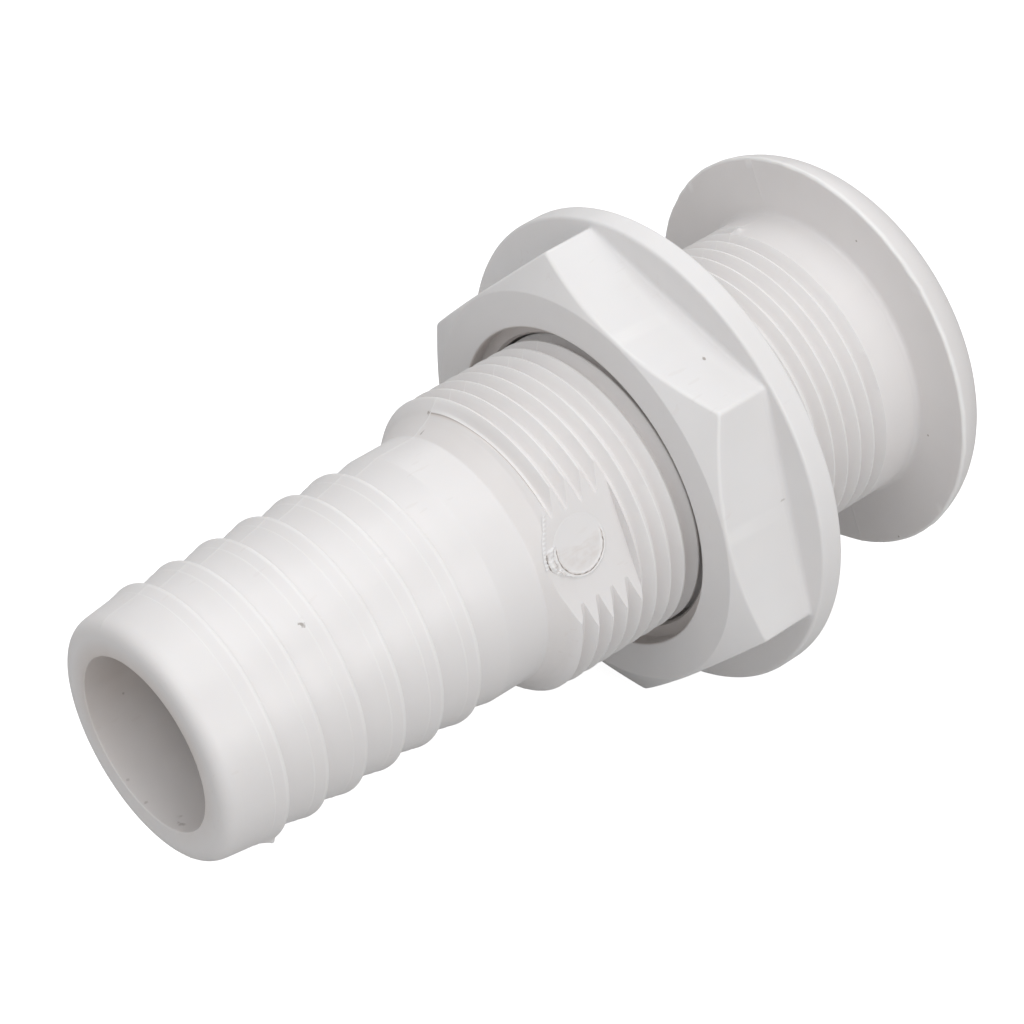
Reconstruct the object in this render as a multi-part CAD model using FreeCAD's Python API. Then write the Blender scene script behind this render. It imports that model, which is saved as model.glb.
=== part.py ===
import FreeCAD, Part
import math
import os

# Barbed thru hull fitting with a flanged hex nut, in millimetres.
# Row frame: +X along the waterway towards the outboard side, +Z up, and the origin on the
# waterway's axis at the sealing face of the mushroom flange. The hose tail lies along -X.
# Everything is turned about +Z first, with z standing for the row's x, and laid along +X last.
# An angle about the axis is measured from the row's +Y towards +Z.

# Waterway and hose tail
BORE_R = 10.25
TAIL_END = -96.5
NOSE_FACE_R = 12.2
NOSE_R = 14.15
NOSE_ROUND = 2.0
BARB_COUNT = 6
BARB_PITCH = 5.17
BARB_RIDGE_R = 15.2
BARB_VALLEY_R = 14.15
BARB_LAND_R = 14.85
BARB_LAND_LENGTH = 1.65
BARB_CREST_LENGTH = 0.3
BARB_BACK_LENGTH = 0.25
FIRST_RIDGE = -89.4

# Neck, and a shoulder of two cones: a shallow one, then the thread's steeper lead-in
NECK_R = 15.0
NECK_START = -59.3
NECK_FILLET_R = 2.0
SHOULDER_START = -54.6
LEAD_START = -51.75
LEAD_START_R = 16.2
SHOULDER_END = -50.1

# External thread, right hand
THREAD_CREST_R = 17.7
THREAD_ROOT_R = 16.4
THREAD_PITCH = 2.1
THREAD_TURNS = 22
THREAD_START = -50.84
THREAD_ROOT_FLAT = 0.42
THREAD_FLANK_ANGLE = 30.0

# Two flats across the start of the thread, square to the mould's parting plane
FLAT_DISTANCE = 15.6
FLAT_START = -55.5
FLAT_END = -42.4
FLAT_ANGLE = 152.5
PARTING_ANGLE = FLAT_ANGLE - 90.0

# Mushroom flange. FLANGE_R is the dome's arc at its widest, level with the arc's centre.
SEAT_FILLET_R = 0.6
FLANGE_R = 24.75
FLANGE_EDGE = 0.3
FLANGE_DOME_R = 6.8
FLANGE_FACE = 6.3
OUTLET_LIP_R = 4.0

# Flanged nut
NUT_FRONT = -35.8
NUT_FLANGE_FRONT = -26.55
NUT_FLANGE_BACK = -23.6
NUT_FLANGE_R = 28.85
NUT_FLANGE_EDGE = 0.5
NUT_ACROSS_FLATS = 48.7
NUT_CORNER_ANGLE = 11.4
NUT_CHAMFER_ANGLE = 32.0
NUT_RECESS_R = 19.6
NUT_RECESS_DEPTH = 1.8
THREAD_CLEARANCE = 0.3
FLANK_CLEARANCE = 0.23
NUT_LEAD_TURNS = 6

# Cutting tools reach this far past the faces they cut
OVERCUT = 1.0
THREAD_OVERCUT = 0.2

AXIS = FreeCAD.Vector(0, 0, 1)
CENTRE = FreeCAD.Vector(0, 0, 0)


def point(z, r):
    return FreeCAD.Vector(r, 0, z)


def line(start, end):
    return Part.LineSegment(point(*start), point(*end)).toShape()


def arc(start, end, centre):
    """The short arc about centre from start to end, in the outline's plane."""
    radius = math.hypot(start[0] - centre[0], start[1] - centre[1])
    mid_z = (start[0] + end[0]) / 2 - centre[0]
    mid_r = (start[1] + end[1]) / 2 - centre[1]
    reach = radius / math.hypot(mid_z, mid_r)
    middle = (centre[0] + mid_z * reach, centre[1] + mid_r * reach)
    return Part.Arc(point(*start), point(*middle), point(*end)).toShape()


def polyline(points):
    return [line(points[i], points[i + 1]) for i in range(len(points) - 1)]


def turned(edges):
    """A solid of revolution about the axis from a closed outline."""
    return Part.Face(Part.Wire(edges)).revolve(CENTRE, AXIS, 360)


def cylinder(radius, start, end):
    return Part.makeCylinder(radius, end - start, FreeCAD.Vector(0, 0, start))


def laid_along_x(shape):
    """Turn the working axis +Z onto the row's +X, working +X onto +Y and working +Y onto +Z."""
    shape.rotate(CENTRE, FreeCAD.Vector(1, 1, 1), 120)
    return shape


def helical_solid(profile, turns, start):
    """Sweep a closed profile of (axial offset, radius) points along the right-hand thread helix."""
    helix = Part.makeHelix(THREAD_PITCH, THREAD_PITCH * turns, THREAD_CREST_R)
    corners = [point(z, r) for z, r in profile]
    sweep = Part.BRepOffsetAPI.MakePipeShell(Part.Wire(helix))
    sweep.setFrenetMode(True)
    sweep.add(Part.makePolygon(corners + corners[:1]))
    sweep.build()
    sweep.makeSolid()
    solid = sweep.shape()
    solid.rotate(CENTRE, AXIS, PARTING_ANGLE)
    solid.translate(FreeCAD.Vector(0, 0, start))
    return solid


def groove_half_width(r):
    """Half the external thread groove's width at a radius."""
    return THREAD_ROOT_FLAT / 2 + (r - THREAD_ROOT_R) * math.tan(math.radians(THREAD_FLANK_ANGLE))


def nut_groove_half_width(r):
    """Half the nut's own groove: what its ridge, a clearance slimmer than the groove, leaves."""
    return THREAD_PITCH / 2 - groove_half_width(r) + FLANK_CLEARANCE


def trapezium(inner_r, outer_r, half_width):
    inner = half_width(inner_r)
    outer = half_width(outer_r)
    return [(-inner, inner_r), (inner, inner_r), (outer, outer_r), (-outer, outer_r)]


def barb_points():
    """The tail's outline from the nose to the last ridge's back, one barb after another."""
    points = [(TAIL_END + NOSE_ROUND, NOSE_R)]
    for barb in range(BARB_COUNT):
        ridge = FIRST_RIDGE + barb * BARB_PITCH
        points.append((ridge - BARB_LAND_LENGTH, BARB_LAND_R))
        points.append((ridge - BARB_CREST_LENGTH, BARB_RIDGE_R))
        points.append((ridge, BARB_RIDGE_R))
        points.append((ridge + BARB_BACK_LENGTH, BARB_VALLEY_R))
    return points


def shoulder_edges():
    """The neck's cylinder, the fillet at the shoulder's foot, and the shoulder's two cones."""
    slope = math.atan2(LEAD_START_R - NECK_R, LEAD_START - SHOULDER_START)
    tangent = NECK_FILLET_R * math.tan(slope / 2)
    fillet_start = (SHOULDER_START - tangent, NECK_R)
    fillet_end = (SHOULDER_START + tangent * math.cos(slope), NECK_R + tangent * math.sin(slope))
    fillet_centre = (SHOULDER_START - tangent, NECK_R + NECK_FILLET_R)
    return [
        line((NECK_START, NECK_R), fillet_start),
        arc(fillet_start, fillet_end, fillet_centre),
        line(fillet_end, (LEAD_START, LEAD_START_R)),
        line((LEAD_START, LEAD_START_R), (SHOULDER_END, THREAD_CREST_R)),
    ]


def mushroom_edges():
    """From the shank's end round the sealing face, the dome and the outlet lip to the bore."""
    shank_end = (-SEAT_FILLET_R, THREAD_CREST_R)
    seat_start = (0, THREAD_CREST_R + SEAT_FILLET_R)
    seat_end = (0, FLANGE_R - FLANGE_EDGE)
    dome_centre = (FLANGE_FACE - FLANGE_DOME_R, FLANGE_R - FLANGE_DOME_R)
    dome_rise = math.sqrt(FLANGE_DOME_R**2 - (FLANGE_EDGE - dome_centre[0])**2)
    dome_start = (FLANGE_EDGE, dome_centre[1] + dome_rise)
    dome_end = (FLANGE_FACE, dome_centre[1])
    lip_start = (FLANGE_FACE, BORE_R + OUTLET_LIP_R)
    lip_end = (FLANGE_FACE - OUTLET_LIP_R, BORE_R)
    return [
        line((SHOULDER_END, THREAD_CREST_R), shank_end),
        arc(shank_end, seat_start, (-SEAT_FILLET_R, THREAD_CREST_R + SEAT_FILLET_R)),
        line(seat_start, seat_end),
        line(seat_end, dome_start),
        arc(dome_start, dome_end, dome_centre),
        line(dome_end, lip_start),
        arc(lip_start, lip_end, (lip_end[0], lip_start[1])),
        line(lip_end, (TAIL_END, BORE_R)),
    ]


def flat_cutter(angle):
    """A block that planes one flat across the thread's start."""
    depth = THREAD_CREST_R - FLAT_DISTANCE + OVERCUT
    corner = FreeCAD.Vector(FLAT_DISTANCE, -THREAD_CREST_R, FLAT_START)
    block = Part.makeBox(depth, 2 * THREAD_CREST_R, FLAT_END - FLAT_START, corner)
    block.rotate(CENTRE, AXIS, angle)
    return block


def fitting_body():
    face_edge = (TAIL_END, NOSE_FACE_R)
    nose_end = (TAIL_END + NOSE_ROUND, NOSE_R)
    barbs = barb_points()
    outline = [line((TAIL_END, BORE_R), face_edge)]
    outline.append(arc(face_edge, nose_end, (nose_end[0], face_edge[1])))
    outline += polyline(barbs + [(NECK_START, NECK_R)])
    outline += shoulder_edges()
    outline += mushroom_edges()
    body = turned(outline)
    groove = trapezium(THREAD_ROOT_R, THREAD_CREST_R + THREAD_OVERCUT, groove_half_width)
    body = body.cut(helical_solid(groove, THREAD_TURNS, THREAD_START))
    for angle in (FLAT_ANGLE, FLAT_ANGLE + 180):
        body = body.cut(flat_cutter(angle))
    return body


def hexagon_prism():
    corner_r = NUT_ACROSS_FLATS / 2 / math.cos(math.pi / 6)
    angles = [math.radians(NUT_CORNER_ANGLE + 60 * side) for side in range(7)]
    corners = [FreeCAD.Vector(corner_r * math.cos(a), corner_r * math.sin(a), NUT_FRONT) for a in angles]
    return Part.Face(Part.makePolygon(corners)).extrude(AXIS * (NUT_FLANGE_FRONT - NUT_FRONT))


def chamfer_cone():
    """Everything inside the cone that bevels the hexagon's front corners."""
    flat_r = NUT_ACROSS_FLATS / 2
    reach = NUT_FLANGE_R + OVERCUT
    bevel_end = NUT_FRONT + (reach - flat_r) * math.tan(math.radians(NUT_CHAMFER_ANGLE))
    corners = [(NUT_FRONT, 0), (NUT_FRONT, flat_r), (bevel_end, reach)]
    corners += [(NUT_FLANGE_BACK, reach), (NUT_FLANGE_BACK, 0), (NUT_FRONT, 0)]
    return turned(polyline(corners))


def nut_groove():
    """The internal thread's groove, right through the hexagon, in step with the body's thread."""
    start = THREAD_START + (NUT_LEAD_TURNS - 0.5) * THREAD_PITCH
    turns = math.ceil((NUT_FLANGE_FRONT - start) / THREAD_PITCH) + 1
    inner_r = THREAD_ROOT_R + THREAD_CLEARANCE - THREAD_OVERCUT
    outer_r = THREAD_CREST_R + THREAD_CLEARANCE
    return helical_solid(trapezium(inner_r, outer_r, nut_groove_half_width), turns, start)


def nut_hex():
    minor_r = THREAD_ROOT_R + THREAD_CLEARANCE
    hexagon = hexagon_prism().common(chamfer_cone())
    hexagon = hexagon.cut(cylinder(minor_r, NUT_FRONT - OVERCUT, NUT_FLANGE_FRONT + OVERCUT))
    hexagon = hexagon.cut(nut_groove())
    return hexagon.cut(cylinder(NUT_RECESS_R, NUT_FRONT - OVERCUT, NUT_FRONT + NUT_RECESS_DEPTH))


def nut_flange():
    bore_r = THREAD_CREST_R + THREAD_CLEARANCE
    edge_r = NUT_FLANGE_R - NUT_FLANGE_EDGE
    corners = [(NUT_FLANGE_FRONT, bore_r), (NUT_FLANGE_FRONT, edge_r)]
    corners += [(NUT_FLANGE_FRONT + NUT_FLANGE_EDGE, NUT_FLANGE_R), (NUT_FLANGE_BACK, NUT_FLANGE_R)]
    corners += [(NUT_FLANGE_BACK, bore_r), (NUT_FLANGE_FRONT, bore_r)]
    return turned(polyline(corners))


def single_solid(shape):
    """The shape's only solid, after merging faces that lie on one surface."""
    solids = shape.removeSplitter().Solids
    if len(solids) != 1 or not solids[0].isValid():
        raise ValueError("expected one valid solid, found %d" % len(solids))
    return solids[0]


NODES = {
    "fitting_body": fitting_body,
    "nut_hex": nut_hex,
    "nut_flange": nut_flange,
}


def main():
    os.makedirs("parts", exist_ok=True)
    for name, make in NODES.items():
        shape = single_solid(make())
        laid_along_x(shape).exportStep("parts/%s.step" % name)
        box = shape.BoundBox
        size = (box.XLength, box.YLength, box.ZLength)
        print("%s: volume %.1f mm3, %.2f x %.2f x %.2f mm" % ((name, shape.Volume) + size))


main()
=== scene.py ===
"""Looks of a barbed thru hull fitting with a flanged hex nut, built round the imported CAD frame.

Shapes are worked out in millimetres about the row's X axis, which runs outboard from the hose. A
point is (x, r, t): its place along the axis, its radius, and its turn in degrees from the seam,
measured from +Y towards +Z. Meshes are written in metres.
"""

import math

import bmesh
import bpy
import numpy as np
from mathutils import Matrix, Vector, noise


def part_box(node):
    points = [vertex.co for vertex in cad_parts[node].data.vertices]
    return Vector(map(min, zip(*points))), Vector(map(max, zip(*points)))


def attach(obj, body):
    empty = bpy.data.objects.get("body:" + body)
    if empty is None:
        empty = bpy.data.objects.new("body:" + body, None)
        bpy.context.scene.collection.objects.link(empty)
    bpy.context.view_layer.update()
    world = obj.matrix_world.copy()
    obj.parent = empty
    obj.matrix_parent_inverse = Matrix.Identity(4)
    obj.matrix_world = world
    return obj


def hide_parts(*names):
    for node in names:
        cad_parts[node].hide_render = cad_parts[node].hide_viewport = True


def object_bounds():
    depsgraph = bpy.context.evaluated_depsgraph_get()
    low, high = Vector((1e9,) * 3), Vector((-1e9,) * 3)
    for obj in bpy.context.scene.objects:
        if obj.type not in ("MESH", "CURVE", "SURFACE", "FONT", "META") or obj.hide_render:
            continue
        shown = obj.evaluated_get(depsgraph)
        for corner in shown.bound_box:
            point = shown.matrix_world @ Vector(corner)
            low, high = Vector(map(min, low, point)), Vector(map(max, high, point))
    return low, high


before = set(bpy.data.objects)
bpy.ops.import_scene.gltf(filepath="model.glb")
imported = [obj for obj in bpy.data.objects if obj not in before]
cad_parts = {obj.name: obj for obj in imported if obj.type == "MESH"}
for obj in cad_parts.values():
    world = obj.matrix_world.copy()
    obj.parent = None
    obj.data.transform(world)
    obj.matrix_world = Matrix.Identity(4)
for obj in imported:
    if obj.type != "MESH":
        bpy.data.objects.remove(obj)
CAD_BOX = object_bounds()
MM = 0.001


def node_ends(node):
    """Where a CAD node starts and ends along X, in millimetres."""
    low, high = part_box(node)
    return low.x / MM, high.x / MM


TAIL_END, OUTER_FACE = node_ends("fitting_body")
NUT_FRONT = node_ends("nut_hex")[0]
NUT_FLANGE_FRONT, NUT_BACK = node_ends("nut_flange")

# Waterway: its mouth in the nose, a straight stretch of rings, and the rounded outlet
BORE_R = 10.25
MOUTH_ROUND, MOUTH_DEPTH = 0.2, 1.2
BORE_START, BORE_END, BORE_RINGS = TAIL_END + 4.0, -10.0, 8
OUTLET_ROUND = 4.0

# Hose tail: a barb is a bead, a sloping land, a short crest and a steep back
NOSE_R, NOSE_ROUND = 14.15, 2.1
FIRST_RIDGE = TAIL_END + 7.1
BARB_COUNT = 6
BARB_PITCH = 5.17
VALLEY_R, LAND_R, RIDGE_R = 14.15, 14.85, 15.2
LAND_LENGTH, CREST_LENGTH, BACK_LENGTH = 1.65, 0.3, 0.25
BEAD, BEAD_SIDE, BEAD_HALF = 0.04, 0.03, 0.16
CREST_RAMP, CREST_DROP = 0.2, 0.05

# Neck, and the shoulder of two cones that leads to the thread
NECK_R = 15.0
NECK_START = -59.3
SHOULDER_START = -54.0
LEAD_START, LEAD_START_R = -51.75, 16.2
SHOULDER_END, OUTLINE_END = -50.1, -45.0
LEAD_BACK = 0.74
LEAD_FADE_FROM, LEAD_FADE_TO = -49.0, -46.5

# Thread
CREST_R, ROOT_R = 17.7, 16.4
PITCH = 2.1
TURNS = 22
GROOVE_START = -50.84
ROOT_HALF = 0.21
SLOPE = math.tan(math.radians(30))
FADE_IN, FADE_OUT = 26.0, 4.0
SEAM_ANGLE = 62.5
HELIX_FROM, HELIX_TO, HELIX_LEAD_ROWS = -53.2, -2.9, 15
ROW_OFFSETS = [-1.05, -0.97, -0.9, -0.55, -0.27, -0.15, 0.15, 0.27, 0.55, 0.9, 0.97]

# Flats across the start of the thread
FLAT_DISTANCE = 15.6
FLAT_START, FLAT_END = -55.5, -42.4
FLAT_HALF_WIDTH = 12.0
FLAT_ANGLE = SEAM_ANGLE + 90

# Mushroom flange: its inner face is at x = 0
FLANGE_R = 24.7
FILLET, FILLET_STEPS = 0.75, 6
RIM_ROUND = 0.35
FACE_RINGS, FACE_RINGS_FROM, FACE_RINGS_TO = 6, CREST_R + 1.0, FLANGE_R - 0.6
DOME_R, DOME_START, DOME_STEPS = 6.8, 0.6, 12
DOME_CENTRE = (OUTER_FACE - DOME_R, FLANGE_R - DOME_R + 0.05)

# What the mould left: its parting lines, and lumps of flash as (x, turn, size, height)
MOULD_LINES = (1.0, 181.0)
LINE_WIDTH, LINE_HEIGHT, RIM_LINE_HEIGHT, FACE_LINE_HEIGHT = 0.12, 0.035, 0.015, 0.03
BARB_FLASH = (FIRST_RIDGE - 0.15, 157.1, 0.5, 0.4)
THREAD_FLASH = (GROOVE_START + TURNS * PITCH, 2.0, 0.45, 0.3)
RIM_FLASH = (0.2, 67.0, 0.5, 0.22)
RIM_NICKS = 0.1
BODY_SWELL, NUT_SWELL = 0.035, 0.03

# Columns of points: their spacing in degrees, and closer ones by a mould line or lump of flash
BODY_SPACING, NUT_SPACING = 1.875, 2.0
LINE_OFFSETS = [-1.5, -1.0, -0.6, -0.35, -0.15, 0.15, 0.35, 0.6, 1.0, 1.5]

# Nut: half a side of the hexagon spans 30 degrees
NUT_FLANGE_R = 28.85
APOTHEM = 24.35
HALF_SIDE = math.radians(30)
CORNER_ANGLE = 11.4
CORNER_ROUND = 0.6
CORNER_OFFSETS = [-1.6, -0.8, -0.42, -0.2, 0.0, 0.2, 0.42, 0.8, 1.6]
FRONT_CIRCLE_R = 24.0
CHAMFER_SLOPE = math.tan(math.radians(32))
RECESS_R, RECESS_DEPTH = 19.6, 1.8
NUT_THREAD_R, NUT_MINOR_R = 18.0, 16.7
NUT_RIDGE_HALF = 0.153
NUT_FIRST_TURN, NUT_TURNS = 9, 3
NUT_FADE = 25.0
NUT_FLOOR = NUT_FRONT + RECESS_DEPTH
NUT_HELIX_FROM, NUT_HELIX_TO, NUT_LEAD_ROWS = NUT_BACK - 0.9, NUT_FLOOR + 0.35, 4

# Gate mark on the front flat: its middle, the torn tab beside it, and burrs on the flat's edge
GATE_X, GATE_ACROSS, GATE_R = -48.2, -0.85, 3.12
GATE_RINGS = [0.06, 0.4, 0.8, 1.2, 1.6, 2.0, 2.3, 2.55]
GATE_RINGS += [2.75 + 0.055 * k for k in range(15)] + [3.65, 3.8, 3.95]
GATE_SPOKES = 150
TAB_ROWS, TAB_STEPS = 21, 60
TAB_INNER_R, TAB_FROM, TAB_SWEEP = 3.3, 122, 81
TAB_TURNS = [122, 126, 140, 152, 161, 168, 179, 190, 197, 203]
TAB_REACH = [3.36, 3.4, 3.65, 4.05, 4.28, 4.58, 4.62, 4.68, 4.4, 3.7]
BURR_TICKS, BURR_STEPS = 13.4, 120
BURR_FROM, BURR_TO = -5.0, 0.6
BURR_ASIDES = (-0.2, -0.12, 0.22, 0.34)
PATCH_DEPTH = 1.5

# Painted highlight, down to -1, and painted shade, up to 1, that the material shows in each place
# Painted highlights on the flange's rim, the mould line and beside the crevice, the barbs' lands and
# crests, and the thread's crests
RIM_HIGHLIGHT, LINE_HIGHLIGHT, LAND_HIGHLIGHT, RIDGE_HIGHLIGHT, THREAD_HIGHLIGHT = -0.8, -0.7, -0.42, -0.5, -0.5
# Painted highlights on the nut's bevelled edge and the hexagon's corners
BEVEL_HIGHLIGHT, CORNER_HIGHLIGHT = -0.5, -0.6
# Painted shade in the bore, lessening towards its bottom, where the light falls
BORE_PAINTED_SHADE, BORE_SHADE, BORE_LEAST = 0.56, 0.44, 0.07
# A faint warm painted shade on the flange, the flats and the plain shank, and a greyer painted shade
# on the shoulder
FLANGE_SHADE_TINT, SHOULDER_SHADE, FLAT_SHADE_TINT, PLAIN_SHADE_TINT = 0.06, 0.17, 0.05, 0.06
# A dark painted shade line beside the first thin crest, as far as a turn
CREVICE_SHADE, CREVICE_TO = 0.83, 66
# Painted shade in the grooves, more in the first one and beside the nut
FIRST_GROOVE_SHADE, GROOVE_SHADE, GROOVE_BY_NUT = 0.13, 0.07, 0.12
# Painted shade in the nut's recess and through its bore
RECESS_SHADE = 0.5


def smooth(low, high, value):
    """0 below low, 1 above high and a soft step between."""
    t = min(1.0, max(0.0, (value - low) / (high - low)))
    return t * t * (3 - 2 * t)


def hump(value, middle, width):
    """1 at the middle, and near 0 from about two widths away."""
    return math.exp(-(((value - middle) / width) ** 2))


def turn_gap(t, from_turn):
    """The shortest way from one turn to another, from -180 to 180 degrees."""
    return (t - from_turn + 180) % 360 - 180


def arc(t, from_turn, r):
    """The same gap as a distance round a circle of radius r."""
    return turn_gap(t, from_turn) * math.pi / 180 * r


def from_corner(angle):
    """How far an angle is from the hexagon's nearest corner, from -30 to 30 degrees."""
    return (angle - CORNER_ANGLE + 30) % 60 - 30


def turned(out, across, degrees):
    """y and z of a point that lies out from the axis and across, turned about X."""
    a = math.radians(degrees)
    return out * math.cos(a) - across * math.sin(a), out * math.sin(a) + across * math.cos(a)


def rounded(corners, most=0.46):
    """Points along an outline of (x, r, radius, steps) corners, each rounded to its radius.

    A radius of 0 keeps a corner sharp, and most is the largest share of a side that one may take.
    """
    out = []
    last = len(corners) - 1
    for i, (x, r, radius, steps) in enumerate(corners):
        here = Vector((x, r))
        if i in (0, last) or radius == 0:
            out.append((x, r))
            continue
        before = Vector(corners[i - 1][:2]) - here
        after = Vector(corners[i + 1][:2]) - here
        a, b = before.normalized(), after.normalized()
        half = math.acos(max(-1.0, min(1.0, a.dot(b)))) / 2
        reach = min(radius / math.tan(half), most * before.length, most * after.length)
        start, end = here + a * reach, here + b * reach
        for k in range(steps + 1):
            t = k / steps
            p = start * (1 - t) ** 2 + here * 2 * t * (1 - t) + end * t * t
            out.append((p.x, p.y))
    return out


def angle_columns(spacing, centres, offsets):
    """Angles after the seam, evenly spaced but closer near some centres."""
    near = max(abs(o) for o in offsets)
    found = [0.0]
    found += [(c + o) % 360 for c in centres for o in offsets]
    for k in range(1, round(360 / spacing)):
        t = k * spacing
        if min(abs(turn_gap(t, c)) for c in centres) > near + spacing * 0.4:
            found.append(t)
    return sorted(set(round(t, 4) for t in found))


# ---------------------------------------------------------------- meshes and objects


def finish_mesh(bm, mesh):
    """Turn the faces of bm outwards and write it to mesh."""
    bmesh.ops.recalc_face_normals(bm, faces=bm.faces)
    bm.to_mesh(mesh)
    bm.free()


def add_object(name, data):
    """A new object in the scene."""
    made = bpy.data.objects.new(name, data)
    bpy.context.scene.collection.objects.link(made)
    return made


def piece(name, mesh, body, material):
    """A new piece of the object, riding on a CAD body."""
    made = add_object(name, mesh)
    mesh.materials.append(material)
    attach(made, body)
    return made


def store_painted_light(mesh, values):
    """Give a mesh's points their painted highlight or shade, for the material. Points past the values
    have none.
    """
    layer = mesh.attributes.new("painted_light", "FLOAT", "POINT")
    for point, value in zip(layer.data, values):
        point.value = value


def painted_light_by_place(mesh, painted_light_at):
    """Give each point of a mesh the painted highlight or shade that belongs to its x, r and turn."""
    values = []
    for vertex in mesh.vertices:
        x, y, z = vertex.co / MM
        turn = (math.degrees(math.atan2(z, y)) - SEAM_ANGLE) % 360
        values.append(painted_light_at(x, math.hypot(y, z), turn))
    store_painted_light(mesh, values)


def soft_shading(obj, angle):
    """Smooth shading, sharp where faces meet at more than an angle, led by the larger faces."""
    obj.data.shade_smooth()
    obj.data.set_sharp_from_angle(angle=math.radians(angle))
    weigh = obj.modifiers.new("weigh", "WEIGHTED_NORMAL")
    weigh.keep_sharp = True
    weigh.mode = "FACE_AREA_WITH_ANGLE"


def block(name, lows, highs, angle):
    """A cutting block, given from low to high along x, outwards and across, turned about X."""
    mesh = bpy.data.meshes.new(name)
    bm = bmesh.new()
    bmesh.ops.create_cube(bm, size=1.0)
    for v in bm.verts:
        x, out, across = (
            low + (high - low) * (c + 0.5) for low, high, c in zip(lows, highs, v.co)
        )
        v.co = Vector((x, *turned(out, across, angle))) * MM
    finish_mesh(bm, mesh)
    return add_object(name, mesh)


def cut(obj, cutter):
    """Take cutter's space out of obj, for good."""
    step = obj.modifiers.new("cut", "BOOLEAN")
    step.object = cutter
    step.operation = "DIFFERENCE"
    step.solver = "EXACT"
    graph = bpy.context.evaluated_depsgraph_get()
    made = bpy.data.meshes.new_from_object(obj.evaluated_get(graph))
    obj.modifiers.remove(step)
    old, obj.data = obj.data, made
    bpy.data.meshes.remove(old)
    bpy.data.objects.remove(cutter)


class Skin:
    """One closed surface about the X axis, made of rings and of rows that climb like a thread.

    columns are the turns at which each ring has a point, and place moves a point (x, r, t) to
    its (x, y, z) in millimetres.
    """

    def __init__(self, columns, place):
        self.columns = columns
        self.place = place
        self.points = []
        self.faces = []
        self.first = self.last = None

    def add(self, x, r, t):
        """Keep a point, and return its number."""
        self.points.append(self.place(x, r, t))
        return len(self.points) - 1

    def join(self, ring):
        """Connect a whole ring of points to the one before."""
        if self.last is not None:
            for c in range(len(ring)):
                d = (c + 1) % len(ring)
                self.faces.append((self.last[c], self.last[d], ring[d], ring[c]))
        else:
            self.first = ring
        self.last = ring

    def ring(self, x, r):
        """Add a ring. x and r are numbers, or lists with one number for each column."""
        xs = x if isinstance(x, list) else [x] * len(self.columns)
        rs = r if isinstance(r, list) else [r] * len(self.columns)
        self.join([self.add(a, b, t) for a, b, t in zip(xs, rs, self.columns)])

    def helix(self, x_from, x_to, first_turn, turns, lead_rows, radius_at):
        """Rows that climb one pitch a turn between two square rings, joined up at the seam."""
        per_turn = len(ROW_OFFSETS)
        rows = turns * per_turn + 1
        sign = 1 if x_to > x_from else -1
        columns = []
        for t in self.columns:
            line = []
            for j in range(rows):
                turn, k = divmod(j, per_turn)
                line.append(GROOVE_START + PITCH * (first_turn + turn + t / 360) + ROW_OFFSETS[k])
            if sign < 0:
                line.reverse()
            lead = [x_from + (line[0] - x_from) * i / lead_rows for i in range(lead_rows)]
            tail = [line[-1] + (x_to - line[-1]) * i / lead_rows for i in range(1, lead_rows + 1)]
            columns.append([self.add(x, radius_at(x, t), t) for x in lead + line + tail])
        self.join([c[0] for c in columns])
        for left, right in zip(columns, columns[1:]):
            for i in range(len(left) - 1):
                self.faces.append((left[i], right[i], right[i + 1], left[i + 1]))
        left, right = columns[-1], columns[0]
        # the row at the end of one turn is the row one turn further on at the seam
        shift = per_turn * sign
        low = lead_rows + max(0, -shift)
        high = lead_rows + rows - 1 - max(0, shift)
        for i in range(low, high):
            a, b = i + shift, i + 1 + shift
            self.faces.append((left[i], right[a], right[b], left[i + 1]))
        self.zip_up(left[: low + 1], right[: low + shift + 1])
        self.zip_up(left[high:], right[high + shift :])
        self.last = [c[-1] for c in columns]

    def zip_up(self, left, right):
        """Triangles between two columns with different numbers of points."""
        i = j = 0
        forward = 1 if self.points[left[-1]][0] > self.points[left[0]][0] else -1
        while i < len(left) - 1 or j < len(right) - 1:
            more_left, more_right = i < len(left) - 1, j < len(right) - 1
            take_left = more_left and (
                not more_right
                or self.points[left[i + 1]][0] * forward < self.points[right[j + 1]][0] * forward
            )
            if take_left:
                self.faces.append((left[i], right[j], left[i + 1]))
                i += 1
            else:
                self.faces.append((left[i], right[j], right[j + 1]))
                j += 1

    def mesh(self, name):
        """Join the last ring back to the first, and make the mesh."""
        self.join(self.first)
        made = bpy.data.meshes.new(name)
        made.from_pydata([[v * MM for v in p] for p in self.points], [], self.faces)
        bm = bmesh.new()
        bm.from_mesh(made)
        finish_mesh(bm, made)
        return made


# ---------------------------------------------------------------- materials

WARM_WHITE, WARM_SHADE = (0.827, 0.81, 0.807), (0.803, 0.785, 0.78)
COOL_WHITE, COOL_SHADE = (0.828, 0.818, 0.818), (0.805, 0.79, 0.785)
# The first colour tints the scuffs and also paints shade, the second paints the deep shade of
# crevices, and the third paints highlights
GRIME_AND_SHADE, DEEP_PAINTED_SHADE, PAINTED_HIGHLIGHT = (0.58, 0.5, 0.45), (0.16, 0.145, 0.135), (0.91, 0.9, 0.89)
SPECK, STAIN = (0.25, 0.2, 0.16), (0.3, 0.26, 0.23)
SPECK_SIZE, SPECK_RARITY = 0.045, 0.99
ROUGHNESS_FROM, ROUGHNESS_TO = 0.31, 0.43
BUMP_DEPTH = 0.00004

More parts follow.
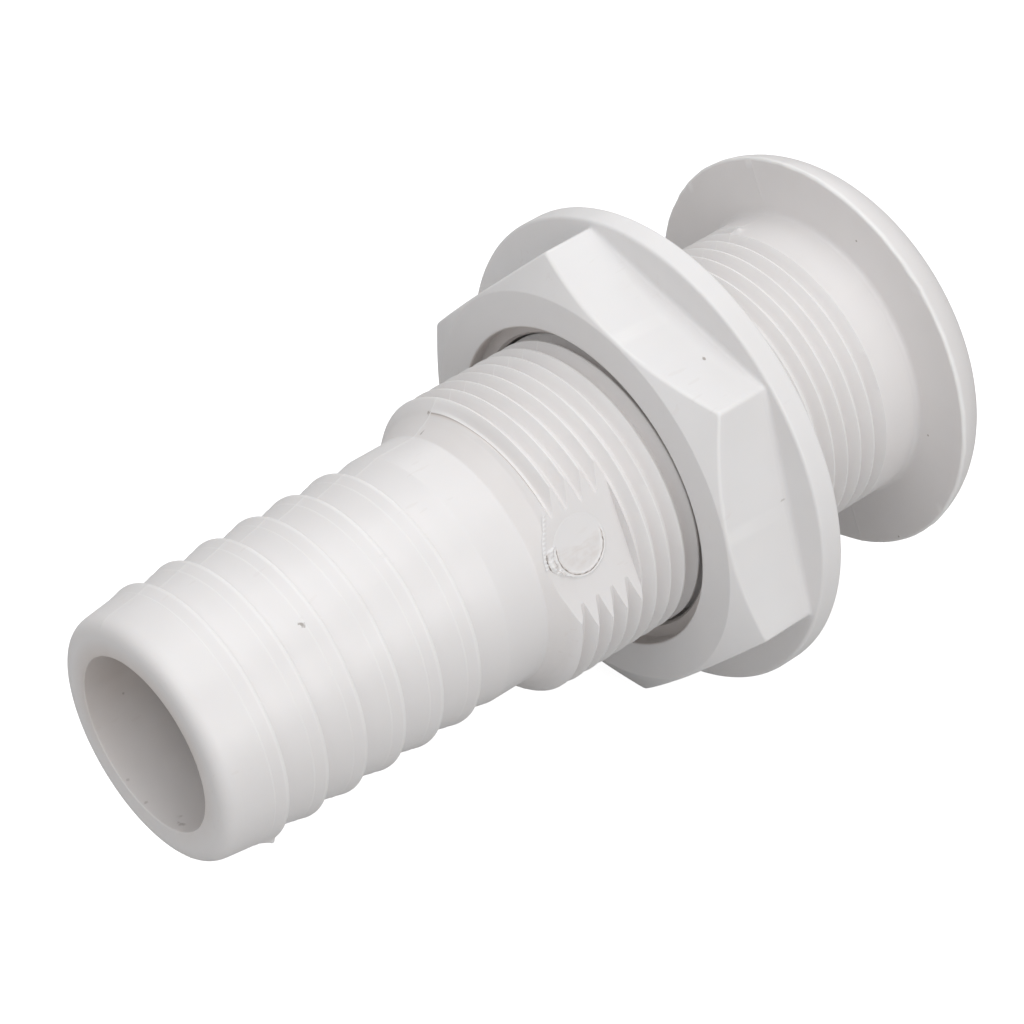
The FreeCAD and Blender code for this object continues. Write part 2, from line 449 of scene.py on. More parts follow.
# Small stains: place in mm, shape (below 1 is longer along that axis), radius in mm, strength
BODY_MARKS = [
    ((-81.0, -7.4, 12.7), (1, 0.6, 0.6), 0.4, 0.75),
    ((-82.2, -8.3, 12.2), (1, 1, 1), 0.25, 0.25),
    ((-92.9, -14.5, -3.2), (0.4, 1, 1), 0.22, 0.3),
    ((-95.4, -3.9, -9.5), (1, 0.35, 1), 0.4, 0.45),
    ((-94.6, -2.6, -9.9), (0.5, 0.5, 1), 0.25, 0.3),
    ((-95.9, 1.5, -10.1), (0.4, 1, 1), 0.25, 0.35),
    ((-95.9, 4.6, -9.1), (0.6, 1, 0.5), 0.2, 0.3),
    ((-92.0, 9.9, -2.8), (1, 1, 1), 0.25, 0.5),
    # These two are painted shade: a dark dot where the first groove starts, and a short dark cleft
    # below it
    ((-51.2, 7.66, 14.28), (0.8, 1, 0.35), 0.33, 0.95),
    ((-53.6, 6.2, 14.15), (0.2, 1, 0.4), 0.17, 0.6),
]
NUT_MARKS = [
    ((-29.3, -12.0, 22.4), (1, 0.7, 0.7), 0.26, 0.75),
    ((-27.3, -22.9, 8.4), (0.35, 1, 1), 0.2, 0.35),
    ((-31.0, 4.0, 24.0), (0.3, 0.6, 1), 0.15, 0.3),
]


class Nodes:
    """A short way to write a material's node tree. A value is a number, a colour or a socket."""

    def __init__(self, name):
        self.material = bpy.data.materials.new(name)
        self.material.use_nodes = True
        self.tree = self.material.node_tree
        self.shader = self.tree.nodes["Principled BSDF"]

    def put(self, socket, value):
        """Link a socket's value, or set it on the socket itself."""
        if isinstance(value, bpy.types.NodeSocket):
            self.tree.links.new(value, socket)
        else:
            socket.default_value = value

    def set(self, name, value):
        """Give the shader one of its inputs."""
        self.put(self.shader.inputs[name], value)

    def node(self, kind, inputs, **settings):
        """A new node."""
        made = self.tree.nodes.new(kind)
        for key, value in settings.items():
            setattr(made, key, value)
        for key, value in inputs.items():
            self.put(made.inputs[key], value)
        return made

    def noise(self, where, scale, detail, stretch=(1, 1, 1)):
        """Soft noise, with its pattern's size set by scale and stretch."""
        at = self.node("ShaderNodeMapping", {"Vector": where, "Scale": stretch})
        inputs = {"Vector": at.outputs[0], "Scale": scale, "Detail": detail}
        return self.node("ShaderNodeTexNoise", inputs).outputs[0]

    def ramp(self, value, low, high, start=0.0, end=1.0):
        """A soft step from start, where value is below low, to end, where it is above high."""
        inputs = {"Value": value, "From Min": low, "From Max": high, "To Min": start, "To Max": end}
        made = self.node("ShaderNodeMapRange", inputs, interpolation_type="SMOOTHSTEP")
        return made.outputs[0]

    def math(self, operation, a, b):
        """Arithmetic on two numbers."""
        return self.node("ShaderNodeMath", {0: a, 1: b}, operation=operation).outputs[0]

    def vector(self, operation, a, b):
        """Arithmetic on two vectors."""
        return self.node("ShaderNodeVectorMath", {0: a, 1: b}, operation=operation).outputs[0]

    def length(self, vector):
        """The length of a vector."""
        made = self.node("ShaderNodeVectorMath", {0: vector}, operation="LENGTH")
        return made.outputs["Value"]

    def tint(self, factor, below, above):
        """The colour below where factor is 0, and the colour above where it is 1."""
        made = self.node("ShaderNodeMix", {"Factor": factor}, data_type="RGBA", blend_type="MIX")
        # a mix node's colours are its inputs 6 and 7 and its output 2
        for socket, value in ((made.inputs[6], below), (made.inputs[7], above)):
            self.put(socket, value if isinstance(value, bpy.types.NodeSocket) else (*value, 1))
        return made.outputs[2]


def plain_colour(n, place, light, shade):
    """Cloudy plastic with faint flow lines along the axis."""
    cloud = n.ramp(n.noise(place, 55, 3), 0.3, 0.7)
    flow = n.ramp(n.noise(place, 300, 2, (0.12, 1, 1)), 0.35, 0.75)
    colour = n.tint(cloud, light, shade)
    return n.tint(n.math("MULTIPLY", flow, 0.35), colour, [c * 0.97 for c in light])


def painted_light_colour(n, place, colour):
    """Painted shade where a point's number is above 0, darkest where it is highest, and a painted
    highlight where it is below, both patchy.
    """
    painted_light = n.node("ShaderNodeAttribute", {}, attribute_name="painted_light").outputs["Fac"]
    painted_shade = n.math("MULTIPLY", painted_light, n.ramp(n.noise(place, 160, 3), 0.2, 0.8, 0.55, 1.0))
    colour = n.tint(painted_shade, colour, GRIME_AND_SHADE)
    colour = n.tint(n.ramp(painted_light, 0.5, 1.0, 0.0, 0.8), colour, DEEP_PAINTED_SHADE)
    patchy = n.ramp(n.noise(place, 130, 2), 0.3, 0.6, 0.4, 1.0)
    highlight = n.math("MULTIPLY", n.math("MULTIPLY", painted_light, -1.0), patchy)
    return n.tint(highlight, colour, PAINTED_HIGHLIGHT)


def speck_places(n, place):
    """1 in a few tiny specks, the middles of the rarest cells of a pattern, and 0 elsewhere."""
    cells = n.node("ShaderNodeTexVoronoi", {"Vector": place, "Scale": 340.0})
    pick = n.node("ShaderNodeSeparateColor", {0: cells.outputs["Color"]}).outputs[0]
    small = n.math("LESS_THAN", cells.outputs["Distance"], SPECK_SIZE)
    return n.math("MULTIPLY", small, n.math("GREATER_THAN", pick, SPECK_RARITY))


def stained_colour(n, local, place, colour, marks):
    """Small ragged stains."""
    ragged = n.math("MULTIPLY", n.noise(place, 1800, 2), 2.4)
    for centre, stretch, radius, strength in marks:
        gap = n.vector("SUBTRACT", local, [c * MM for c in centre])
        far = n.math("DIVIDE", n.length(n.vector("MULTIPLY", gap, stretch)), radius * MM)
        near = n.ramp(n.math("ADD", far, ragged), 1.5, 2.0, strength, 0.0)
        colour = n.tint(near, colour, STAIN)
    return colour


def surface_height(n, place, speck):
    """A fine pebbled skin on a slight wave, with the specks sunk in."""
    pebble = n.math("MULTIPLY", n.noise(place, 5200, 2), 0.18)
    height = n.math("ADD", pebble, n.noise(place, 420, 2))
    return n.math("SUBTRACT", height, n.math("MULTIPLY", speck, 0.8))


def plastic(name, light, shade, seed, marks):
    """Off-white moulded plastic, with painted shade and highlights, specks, stains and light scuffs.
    """
    n = Nodes(name)
    local = n.node("ShaderNodeTexCoord", {}).outputs["Object"]
    shifted = {"Vector": local, "Location": (seed, 2 * seed, 0)}
    place = n.node("ShaderNodeMapping", shifted).outputs[0]
    colour = painted_light_colour(n, place, plain_colour(n, place, light, shade))
    speck = speck_places(n, place)
    colour = n.tint(n.math("MULTIPLY", speck, 0.6), colour, SPECK)
    colour = stained_colour(n, local, place, colour, marks)
    lines = n.ramp(n.noise(place, 1500, 1, (0.25, 1, 0.6)), 0.68, 0.71)
    scuffs = n.math("MULTIPLY", lines, n.ramp(n.noise(place, 90, 1), 0.58, 0.66))
    n.set("Base Color", n.tint(n.math("MULTIPLY", scuffs, 0.08), colour, GRIME_AND_SHADE))
    gloss = n.ramp(n.noise(place, 240, 3), 0.3, 0.7, ROUGHNESS_FROM, ROUGHNESS_TO)
    n.set("Roughness", n.math("ADD", gloss, n.math("MULTIPLY", scuffs, 0.15)))
    n.set("Subsurface Weight", 0.12)
    n.set("Subsurface Radius", (1.0, 0.85, 0.7))
    n.set("Subsurface Scale", 0.0012)
    bump = {"Height": surface_height(n, place, speck), "Strength": 0.3, "Distance": BUMP_DEPTH}
    n.set("Normal", n.node("ShaderNodeBump", bump).outputs[0])
    return n.material


BODY_PLASTIC = plastic("body_plastic", WARM_WHITE, WARM_SHADE, 0.0, BODY_MARKS)
NUT_PLASTIC = plastic("nut_plastic", COOL_WHITE, COOL_SHADE, 0.37, NUT_MARKS)


# ---------------------------------------------------------------- thread


def groove_at(x, t):
    """The groove's turn nearest to a place on the shank, and how far it is from its middle."""
    along = (x - GROOVE_START) / PITCH - t / 360
    turn = round(along)
    return turn, (along - turn) * PITCH


def flank(foot, half, offset):
    """A radius on a 60 degree flank that starts half a foot's width from the middle."""
    return foot + max(0.0, abs(offset) - half) / SLOPE


# ---------------------------------------------------------------- fitting body


def barb_corners():
    """Corners of all the barbs, from the nose to the neck."""
    corners = []
    for barb in range(BARB_COUNT):
        ridge = FIRST_RIDGE + barb * BARB_PITCH
        land, crest = ridge - LAND_LENGTH, ridge - CREST_LENGTH
        corners.append((land - BEAD_HALF, LAND_R - BEAD_SIDE, 0, 0))
        corners.append((land, LAND_R + BEAD, 0.1, 2))
        corners.append((land + BEAD_HALF, LAND_R + BEAD_SIDE, 0, 0))
        corners.append((crest - CREST_RAMP, RIDGE_R - CREST_DROP, 0, 0))
        corners.append((crest, RIDGE_R, 0.3, 2))
        corners.append((ridge, RIDGE_R, 0.12, 2))
        corners.append((ridge + BACK_LENGTH, VALLEY_R, 0.25, 3))
    return corners


TAIL_OUTLINE = rounded(
    [
        (TAIL_END + MOUTH_DEPTH, BORE_R, 0, 0),
        (TAIL_END, BORE_R, MOUTH_ROUND, 3),
        (TAIL_END, NOSE_R, NOSE_ROUND, 10),
        *barb_corners(),
        (NECK_START, NECK_R, 1.5, 3),
        (SHOULDER_START, NECK_R, 0.8, 3),
        (LEAD_START, LEAD_START_R, 0.35, 2),
        (SHOULDER_END, CREST_R, 0.3, 3),
        (OUTLINE_END, CREST_R, 0, 0),
    ]
)
SHOULDER = [p for p in TAIL_OUTLINE if p[0] > SHOULDER_START - 2.5]
SHOULDER_XS = [p[0] for p in SHOULDER] + [HELIX_TO]
SHOULDER_RS = [p[1] for p in SHOULDER] + [CREST_R]


def dome_outline():
    """The mushroom flange's round edge, from its rim to its outer face."""
    out = []
    start = math.asin((DOME_START - DOME_CENTRE[0]) / DOME_R)
    for k in range(DOME_STEPS + 1):
        a = start + (math.pi / 2 - start) * k / DOME_STEPS
        out.append((DOME_CENTRE[0] + DOME_R * math.sin(a), DOME_CENTRE[1] + DOME_R * math.cos(a)))
    return out


def lead_shift(t):
    """How far the lead-in cone moves along the axis at a turn t, to follow the first crest."""
    back = 1 - smooth(0.0, 180.0, t) if t < 180 else (t - 180) / 180
    return PITCH / 2 * back - LEAD_BACK


def outer_radius(x, t):
    """The shoulder and the thread's crests, as if no groove were cut."""
    moved = smooth(SHOULDER_START, LEAD_START - 0.3, x)
    moved *= 1 - smooth(LEAD_FADE_FROM, LEAD_FADE_TO, x)
    return float(np.interp(x - moved * lead_shift(t), SHOULDER_XS, SHOULDER_RS))


def body_thread_radius(x, t):
    """The threaded shank's surface: the groove starts and stops at the seam."""
    surface = outer_radius(x, t)
    turn, offset = groove_at(x, t)
    if turn < 0 or turn >= TURNS:
        return surface
    turned_by = (turn + t / 360) * 360
    deep = smooth(0.0, FADE_IN, turned_by) * smooth(0.0, FADE_OUT, TURNS * 360 - turned_by)
    return surface - deep * max(0.0, surface - flank(ROOT_R, ROOT_HALF, offset))


def lump(x, t, r, flash):
    """The height of a small rounded lump of flash."""
    flash_x, flash_turn, size, height = flash
    across = arc(t, flash_turn, r)
    return height * math.exp(-((x - flash_x) ** 2 + across**2) / size**2)


def body_place(x, r, t):
    """Row position of a body point, with the mould's parting lines, flash and a slight swell."""
    angle = math.radians(SEAM_ANGLE + t)
    y, z = math.cos(angle), math.sin(angle)
    if r > BORE_R + 3 and x < OUTER_FACE - 0.5:
        for line in MOULD_LINES:
            ridge = hump(arc(t, line, r), 0.0, LINE_WIDTH)
            if r > CREST_R + 1 and x < 0.1:
                x -= FACE_LINE_HEIGHT * ridge
            r += (LINE_HEIGHT if r < 20 else RIM_LINE_HEIGHT) * ridge
        r += lump(x, t, r, BARB_FLASH)
        r += lump(x, t, r, THREAD_FLASH)
        if r > FLANGE_R - 0.8 and x < 1.0:
            nick = noise.noise(Vector((y * 14, z * 14, x * 2)))
            r += RIM_NICKS * nick + lump(x, t, r, RIM_FLASH)
        r += BODY_SWELL * noise.noise(Vector((x * 0.05, y * 0.8, z * 0.8)))
    return (x, r * y, r * z)


def fitting_body():
    """The fitting as one skin: tail, thread, flange, and back to the nose through the bore."""
    centres = [MOULD_LINES[0], BARB_FLASH[1], MOULD_LINES[1]]
    skin = Skin(angle_columns(BODY_SPACING, centres, LINE_OFFSETS), body_place)
    for x, r in TAIL_OUTLINE:
        if x < HELIX_FROM - 0.05:
            skin.ring(x, r)
    skin.helix(HELIX_FROM, HELIX_TO, 0, TURNS, HELIX_LEAD_ROWS, body_thread_radius)
    flange = rounded(
        [
            (HELIX_TO, CREST_R, 0, 0),
            (0.0, CREST_R, FILLET, FILLET_STEPS),
            (0.0, FLANGE_R, RIM_ROUND, 4),
            (2.0, FLANGE_R - 0.05, 0, 0),
        ]
    )[1:-1]
    for x, r in flange[: FILLET_STEPS + 1]:
        skin.ring(x, r)
    for k in range(1, FACE_RINGS + 1):
        width = (FACE_RINGS_TO - FACE_RINGS_FROM) * k / (FACE_RINGS + 1)
        skin.ring(0.0, FACE_RINGS_FROM + width)
    for x, r in flange[FILLET_STEPS + 1 :] + dome_outline():
        skin.ring(x, r)
    outlet = rounded(
        [
            (OUTER_FACE, DOME_CENTRE[1], 0, 0),
            (OUTER_FACE, BORE_R, OUTLET_ROUND, 9),
            (BORE_END, BORE_R, 0, 0),
        ]
    )
    for x, r in outlet[1:]:
        skin.ring(x, r)
    for k in range(1, BORE_RINGS + 1):
        skin.ring(BORE_END + (BORE_START - BORE_END) * k / BORE_RINGS, BORE_R)
    return skin.mesh("fitting_shell")


def barb_highlight(x):
    """Painted highlights along each barb's crest and where each land starts."""
    past_land = (x - FIRST_RIDGE + LAND_LENGTH + 0.5) % BARB_PITCH - 0.5
    past_crest = past_land - LAND_LENGTH + CREST_LENGTH
    if abs(past_land) < 0.13:
        return LAND_HIGHLIGHT
    return RIDGE_HIGHLIGHT if -0.08 < past_crest < CREST_LENGTH + 0.1 else 0.0


def thread_painted_light(x, r, t):
    """Painted highlight on the crests, painted shade in the grooves, on the flats and the plain
    shank, and a dark painted shade line beside the first thin crest.
    """
    offset = x - GROOVE_START - PITCH * t / 360
    # A dark painted shade line in the crevice beside the first thin crest, with a thin painted
    # highlight next to it
    if 0.3 < t < CREVICE_TO and -0.3 < offset < -0.1:
        return CREVICE_SHADE if offset < -0.2 else LINE_HIGHLIGHT
    # A faint warm painted shade on the flats and on the plain shank past the thread
    if abs(r * math.cos(math.radians(t - 90)) - FLAT_DISTANCE) < 0.01:
        return FLAT_SHADE_TINT
    if offset > (TURNS - 0.5) * PITCH:
        return PLAIN_SHADE_TINT
    # Painted highlight on the crests
    if r > CREST_R - 0.12:
        return THREAD_HIGHLIGHT
    # Painted shade in the grooves, more of it under the nut
    under_nut = smooth(NUT_FRONT - 1.5, NUT_FRONT + 1.0, x)
    under_nut *= 1 - smooth(NUT_BACK - 7, NUT_BACK - 4, x)
    painted_shade = FIRST_GROOVE_SHADE if offset < 0.8 else GROOVE_SHADE + GROOVE_BY_NUT * under_nut
    return painted_shade * smooth(0.5, 1.3, CREST_R - r)


def body_painted_light(x, r, t):
    """Painted highlight or shade at a place on the body."""
    if r < BORE_R + 0.3:
        # The bore is painted darker, less so towards its bottom
        height = math.sin(math.radians(SEAM_ANGLE + t))
        return max(BORE_LEAST, BORE_PAINTED_SHADE + BORE_SHADE * min(0.0, height))
    if x > HELIX_TO:
        # Painted highlight on the flange's rim, and a faint warm painted shade on the rest of the
        # flange
        return RIM_HIGHLIGHT if r > FLANGE_R - 0.3 and x < 0.4 else FLANGE_SHADE_TINT
    # Painted highlight along a mould line
    if abs(t - MOULD_LINES[0]) < 0.2 and r > BORE_R + 3:
        return LINE_HIGHLIGHT
    if FIRST_RIDGE - 2.5 < x < FIRST_RIDGE + (BARB_COUNT - 0.5) * BARB_PITCH:
        return barb_highlight(x)
    if x < SHOULDER_START:
        return 0.0
    # Painted shade on the shoulder
    if x < HELIX_FROM or (r < LEAD_START_R and x < LEAD_START):
        return SHOULDER_SHADE
    return thread_painted_light(x, r, t)


body = piece("fitting_shell", fitting_body(), "fitting", BODY_PLASTIC)
for side in (0, 180):
    low = (FLAT_START, FLAT_DISTANCE, -FLAT_HALF_WIDTH)
    high = (FLAT_END, CREST_R + 2.0, FLAT_HALF_WIDTH)
    cut(body, block("flat_cutter", low, high, FLAT_ANGLE + side))
painted_light_by_place(body.data, body_painted_light)
soft_shading(body, 32)
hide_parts("fitting_body")


# ---------------------------------------------------------------- nut


def hex_radius(angle):
    """The hexagon's reach at an angle in degrees, with slightly rounded corners."""
    a = math.radians(from_corner(angle))
    centre = (APOTHEM - CORNER_ROUND) / math.cos(HALF_SIDE)
    tangent = math.atan2(
        CORNER_ROUND * math.sin(HALF_SIDE), centre + CORNER_ROUND * math.cos(HALF_SIDE)
    )
    if abs(a) < tangent:
        return centre * math.cos(a) + math.sqrt(CORNER_ROUND**2 - (centre * math.sin(a)) ** 2)
    return APOTHEM / math.cos(HALF_SIDE - abs(a))


def bevel_start(reach):
    """Where the hexagon's bevelled front edge meets its side, at a reach from the axis."""
    return NUT_FRONT + (reach - FRONT_CIRCLE_R) * CHAMFER_SLOPE


def nut_place(x, r, t):
    """Row position of a nut point, with a slight swell."""
    angle = math.radians(SEAM_ANGLE + t)
    y, z = math.cos(angle), math.sin(angle)
    if r > RECESS_R + 0.5:
        r += NUT_SWELL * noise.noise(Vector((x * 0.1, y * 1.2, z * 1.2 + 5)))
    return (x, r * y, r * z)


def nut_thread_radius(x, t):
    """The nut's bore: its ridge sits in the body's groove, and fades out at both ends."""
    turn, offset = groove_at(x, t)
    if turn < NUT_FIRST_TURN or turn >= NUT_FIRST_TURN + NUT_TURNS:
        return NUT_THREAD_R
    turned_by = (turn - NUT_FIRST_TURN + t / 360) * 360
    tall = smooth(0.0, NUT_FADE, turned_by) * smooth(0.0, NUT_FADE, NUT_TURNS * 360 - turned_by)
    return NUT_THREAD_R - tall * max(0.0, NUT_THREAD_R - flank(NUT_MINOR_R, NUT_RIDGE_HALF, offset))


def flanged_nut():
    """The nut as one skin: recess, hexagon, flange, and back to the front through the thread."""
    corners = [(CORNER_ANGLE + 60 * k - SEAM_ANGLE) % 360 for k in range(6)]
    skin = Skin(angle_columns(NUT_SPACING, corners, CORNER_OFFSETS), nut_place)
    outlines = []
    for t in skin.columns:
        reach = hex_radius(SEAM_ANGLE + t)
        outlines.append(
            rounded(
                [
                    (NUT_FLOOR, NUT_THREAD_R + 0.3, 0, 0),
                    (NUT_FLOOR, RECESS_R, 0.25, 3),
                    (NUT_FRONT, RECESS_R, 0.3, 4),
                    (NUT_FRONT, FRONT_CIRCLE_R, 0.4, 3),
                    (bevel_start(reach), reach, 0.7, 4),
                    (NUT_FLANGE_FRONT, reach, 0.7, 4),
                    (NUT_FLANGE_FRONT, NUT_FLANGE_R, 0.45, 4),
                    (NUT_BACK, NUT_FLANGE_R, 0.4, 4),
                    (NUT_BACK, NUT_THREAD_R, 0.3, 3),
                    (NUT_BACK - 0.8, NUT_THREAD_R, 0, 0),
                ]
            )
        )
    for ring in zip(*outlines):
        skin.ring([x for x, r in ring], [r for x, r in ring])
    ends = (NUT_HELIX_FROM, NUT_HELIX_TO)
    skin.helix(*ends, NUT_FIRST_TURN, NUT_TURNS, NUT_LEAD_ROWS, nut_thread_radius)
    return skin.mesh("flanged_nut")


def nut_painted_light(x, r, t):
    """Painted highlight or shade at a place on the nut."""
    # Painted shade in the recess and the bore
    if r < RECESS_R + 0.1:
        return RECESS_SHADE
    reach = hex_radius(SEAM_ANGLE + t)
    bevel = bevel_start(reach)
    # Painted highlights along the bevel's edge and the hexagon's corners
    if abs(x - bevel) < 0.2 and abs(r - reach) < 0.2:
        return BEVEL_HIGHLIGHT
    on_side = bevel < x < NUT_FLANGE_FRONT - 0.5 and r < reach + 0.1
    return CORNER_HIGHLIGHT if on_side and abs(from_corner(SEAM_ANGLE + t)) < 0.5 else 0.0


nut = piece("flanged_nut", flanged_nut(), "nut", NUT_PLASTIC)
painted_light_by_place(nut.data, nut_painted_light)
soft_shading(nut, 38)
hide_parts("nut_hex", "nut_flange")


# ---------------------------------------------------------------- gate mark, tab and burrs


def on_flat(u, v, height):
    """A point on the flat facing the front, u along x and v across, from the gate's middle."""
    y, z = turned(FLAT_DISTANCE + height, GATE_ACROSS + v, FLAT_ANGLE)
    return Vector((GATE_X + u, y, z)) * MM


def patch(name, rows, height_at, painted_light_at, closed):
    """A skin over the flat from rows of (u, v) points, with walls down into the body and a base.

    height_at gives a point's height and the next function its painted highlight or shade, from u, v
    and its row. A closed patch has rings for rows.
    """
    count = len(rows[0])
    points = [on_flat(u, v, height_at(u, v, i)) for i, row in enumerate(rows) for u, v in row]
    faces = []
    for i in range(len(rows) - 1):
        for k in range(count if closed else count - 1):
            n = (k + 1) % count
            faces.append((i * count + k, i * count + n, (i + 1) * count + n, (i + 1) * count + k))
    if closed:
        faces.append(tuple(range(count))[::-1])
    below = len(points)
    border = list(range(below - count, below))
    if not closed:
        left, right = range(0, below, count), range(count - 1, below, count)
        border = [*range(count), *right[1:], *border[-2::-1], *left[-2:0:-1]]
    down = on_flat(0, 0, -PATCH_DEPTH) - on_flat(0, 0, 0)
    points += [points[b] + down for b in border]
    for k in range(len(border)):
        n = (k + 1) % len(border)
        faces.append((border[k], border[n], below + n, below + k))
    faces.append(tuple(range(below, len(points))))
    mesh = bpy.data.meshes.new(name)
    mesh.from_pydata(points, [], faces)
    bm = bmesh.new()
    bm.from_mesh(mesh)
    finish_mesh(bm, mesh)
    store_painted_light(mesh, [painted_light_at(u, v, i) for i, row in enumerate(rows) for u, v in row])
    piece(name, mesh, "fitting", BODY_PLASTIC)
    mesh.shade_smooth()


def lower_side(u, v):
    """1 round the gate's lower half, where its rim is torn, and 0 round the upper."""
    return smooth(0.3, 0.46, 0.5 + 0.5 * math.cos(math.atan2(v, u) - math.radians(94)))


def gate_edge(u, v):
    """How far a point is outside the gate's uneven rim, and how uneven the rim is there."""
    rough = noise.noise(Vector((u * 2.2, v * 2.2, 3.1)))
    return math.hypot(u, v) - GATE_R - 0.06 * rough, rough


def gate_height(u, v, row):
    """Two torn lips either side of the rim, and a skirt that dips under the flat."""
    edge, rough = gate_edge(u, v)
    fine = noise.noise(Vector((u * 5.5, v * 5.5, 7.7)))
    lips = hump(edge, 0.17, 0.09) + 0.7 * hump(edge, -0.16, 0.1)
    height = 0.02 + lower_side(u, v) * (lips * (0.11 + 0.1 * fine) + 0.04 * max(0, rough))
    return height - 0.12 * smooth(GATE_R + 0.3, GATE_R + 0.75, math.hypot(u, v))


def gate_painted_light(u, v, row):
    """A painted shade line along the rim, a painted highlight outside it and darker smears inside."""
    edge, rough = gate_edge(u, v)
    fine = noise.noise(Vector((u * 3.1, v * 3.1, 1.3)))
    # Painted shade along the rim and a painted highlight just outside it, on the lower half only
    line = hump(edge, 0.0, 0.09) * (0.95 + 0.5 * fine)
    bright = 0.8 * hump(edge, 0.24, 0.1)
    inside = 1 - smooth(GATE_R * 0.75, GATE_R, math.hypot(u, v))
    smear = max(0.0, noise.noise(Vector((u * 1.1, v * 3.3, 8.2))) + 0.25)
    return min(1.0, lower_side(u, v) * (line - bright + inside * (0.1 + 0.35 * smear)))


def gate_rings():
    """Rings about the gate's middle, closer near its rim."""
    turns = [2 * math.pi * k / GATE_SPOKES for k in range(GATE_SPOKES)]
    return [[(r * math.cos(a), r * math.sin(a)) for a in turns] for r in GATE_RINGS]


def tab_height(u, v, row):
    """A rough ridge, highest between the tab's inner and outer edge."""
    share = row / (TAB_ROWS - 1)
    uneven = noise.noise(Vector((u * 2.6, v * 2.6, 4.4)))
    fine = noise.noise(Vector((u * 7, v * 7, 2.2)))
    return -0.06 + math.sin(math.pi * share) ** 0.6 * (0.26 + 0.22 * uneven + 0.12 * fine)


def tab_painted_light(u, v, row):
    """Painted shade along the outer edge, thick beside the tab's widest part, and along an inner
    line, with a painted highlight elsewhere, all broken by streaks.
    """
    share = row / (TAB_ROWS - 1)
    turn = math.degrees(math.atan2(v, u)) % 360
    streak = noise.noise(Vector((share * 5.0, turn * 0.05, 6.1)))
    thick = smooth(150.0, 175.0, turn) * (1 - smooth(190.0, 200.0, turn))
    outer = smooth(0.95 - 0.22 * thick, 0.97, share) * (0.75 + 0.6 * thick + 0.5 * streak)
    inner = hump(share, 0.3, 0.07) * smooth(165.0, 185.0, turn) * 1.1
    return max(-0.7, min(1.0, outer + inner + 1.6 * streak - 0.3))


def tab_rows():
    """Rows that follow the gate's rim, out to the tab's torn edge."""
    rows = []
    for i in range(TAB_ROWS):
        row = []
        for k in range(TAB_STEPS + 1):
            turn = TAB_FROM + TAB_SWEEP * k / TAB_STEPS
            width = float(np.interp(turn, TAB_TURNS, TAB_REACH)) - TAB_INNER_R
            reach = TAB_INNER_R + width * i / (TAB_ROWS - 1)
            a = math.radians(turn)
            row.append((reach * math.cos(a), reach * math.sin(a)))
        rows.append(row)
    return rows


def flat_edge(across):
    """Where the front flat's edge meets the shoulder, at a distance across the flat."""
    reach = math.hypot(FLAT_DISTANCE, across)
    t = FLAT_ANGLE - SEAM_ANGLE + math.degrees(math.atan2(across, FLAT_DISTANCE))
    x = SHOULDER_START
    while outer_radius(x, t) < reach:
        x += 0.01
    return x


def burr_height(u, v, row):
    """Small ticks along the strip's two middle rows."""
    return -0.04 + (0.06 + 0.025 * math.sin(v * BURR_TICKS)) * (row in (1, 2))


def burr_painted_light(u, v, row):
    """The ticks get a painted highlight, and the rest of the strip a faint warm painted shade."""
    return -0.3 - 0.4 * math.sin(v * BURR_TICKS) if row in (1, 2) else 0.05


def burr_rows():
    """Rows on both sides of the flat's edge."""
    vs = [BURR_FROM + (BURR_TO - BURR_FROM) * k / BURR_STEPS for k in range(BURR_STEPS + 1)]
    return [[(flat_edge(GATE_ACROSS + v) + aside - GATE_X, v) for v in vs] for aside in BURR_ASIDES]


patch("gate_mark", gate_rings(), gate_height, gate_painted_light, True)
patch("gate_tab", tab_rows(), tab_height, tab_painted_light, False)
patch("flat_burr", burr_rows(), burr_height, burr_painted_light, False)


# ---------------------------------------------------------------- camera, light and floor

AZIMUTH, ELEVATION = math.radians(-41.378), math.radians(41.769)
TARGET, DISTANCE = Vector((-0.044925, 0.001121, 0.000998)), 0.381376
LENS, SENSOR_WIDTH = 121.559, 36

MIDDLE = (CAD_BOX[0] + CAD_BOX[1]) / 2
COOL_LIGHT, WHITE_LIGHT = (0.972, 0.985, 1.0), (1.0, 0.998, 0.995)
SKY, SKY_STRENGTH = (1.0, 0.988, 0.982, 1), 0.43
FLOOR_HALF_WIDTH = 3.0
FLOOR_COLOUR, FLOOR_GLOW = (0.47, 0.47, 0.47, 1), 0.88


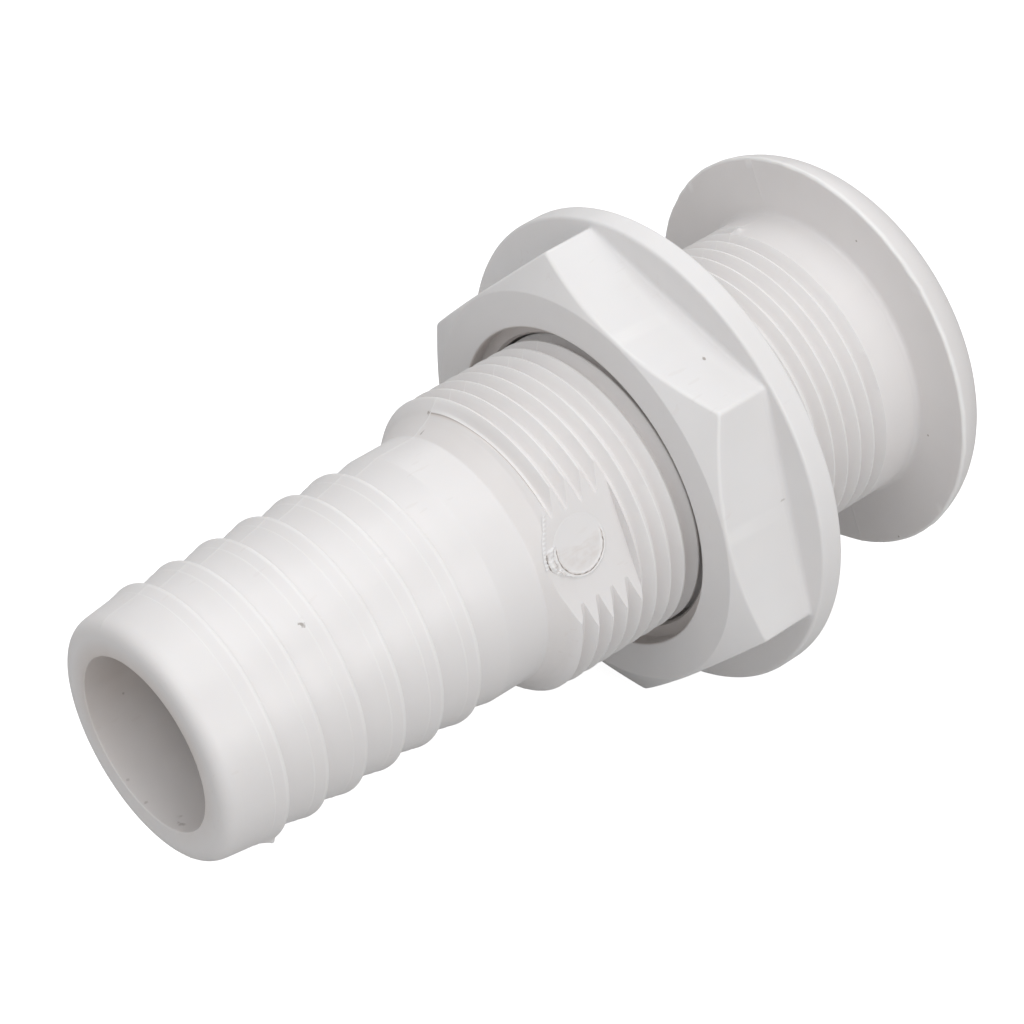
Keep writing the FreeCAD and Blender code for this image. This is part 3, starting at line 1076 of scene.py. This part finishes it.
def add_camera():
    """The camera at the photograph's viewing angle."""
    towards = Vector(
        (
            math.sin(AZIMUTH) * math.cos(ELEVATION),
            -math.cos(AZIMUTH) * math.cos(ELEVATION),
            math.sin(ELEVATION),
        )
    )
    data = bpy.data.cameras.new("camera")
    data.lens = LENS
    data.sensor_width = SENSOR_WIDTH
    data.clip_start = 0.01
    data.clip_end = 100
    camera = add_object("camera", data)
    camera.location = TARGET + towards * DISTANCE
    camera.rotation_euler = (-towards).to_track_quat("-Z", "Y").to_euler()
    bpy.context.scene.camera = camera


def add_world():
    """Even soft light from all round."""
    world = bpy.data.worlds.new("studio")
    bpy.context.scene.world = world
    world.use_nodes = True
    background = world.node_tree.nodes["Background"]
    background.inputs["Color"].default_value = SKY
    background.inputs["Strength"].default_value = SKY_STRENGTH


def softbox(name, from_middle, size, power, colour):
    """An area light aimed at the middle of the object."""
    data = bpy.data.lights.new(name, "AREA")
    data.shape = "RECTANGLE"
    data.size, data.size_y = size
    data.energy = power
    data.color = colour
    light = add_object(name, data)
    light.location = MIDDLE + Vector(from_middle)
    light.rotation_euler = (MIDDLE - light.location).to_track_quat("-Z", "Y").to_euler()


def add_floor():
    """White paper under the object. It glows, but its glow lights nothing else."""
    mesh = bpy.data.meshes.new("floor")
    signs = ((-1, -1), (1, -1), (1, 1), (-1, 1))
    corners = [(a * FLOOR_HALF_WIDTH, b * FLOOR_HALF_WIDTH, CAD_BOX[0].z) for a, b in signs]
    mesh.from_pydata(corners, [], [(0, 1, 2, 3)])
    floor = add_object("floor", mesh)
    paper = Nodes("floor_paper")
    paper.set("Base Color", FLOOR_COLOUR)
    paper.set("Roughness", 0.95)
    paper.set("Specular IOR Level", 0.0)
    paper.set("Emission Color", (1, 1, 1, 1))
    paper.set("Emission Strength", FLOOR_GLOW)
    mesh.materials.append(paper.material)
    lit_by_floor = bpy.data.collections.new("lit_by_floor")
    lit_by_floor.objects.link(floor)
    floor.light_linking.receiver_collection = lit_by_floor


bpy.context.scene.view_settings.view_transform = "Standard"
add_camera()
add_world()
softbox("key", (0.1, 0.0, 0.74), (0.6, 0.6), 1.77, COOL_LIGHT)
softbox("tail", (-0.42, -0.05, 0.62), (0.5, 0.5), 0.88, COOL_LIGHT)
softbox("fill", (-0.12, -0.74, 0.4), (0.7, 0.5), 2.4, WHITE_LIGHT)
softbox("back", (0.5, 0.45, 0.4), (0.5, 0.5), 0.9, WHITE_LIGHT)
add_floor()
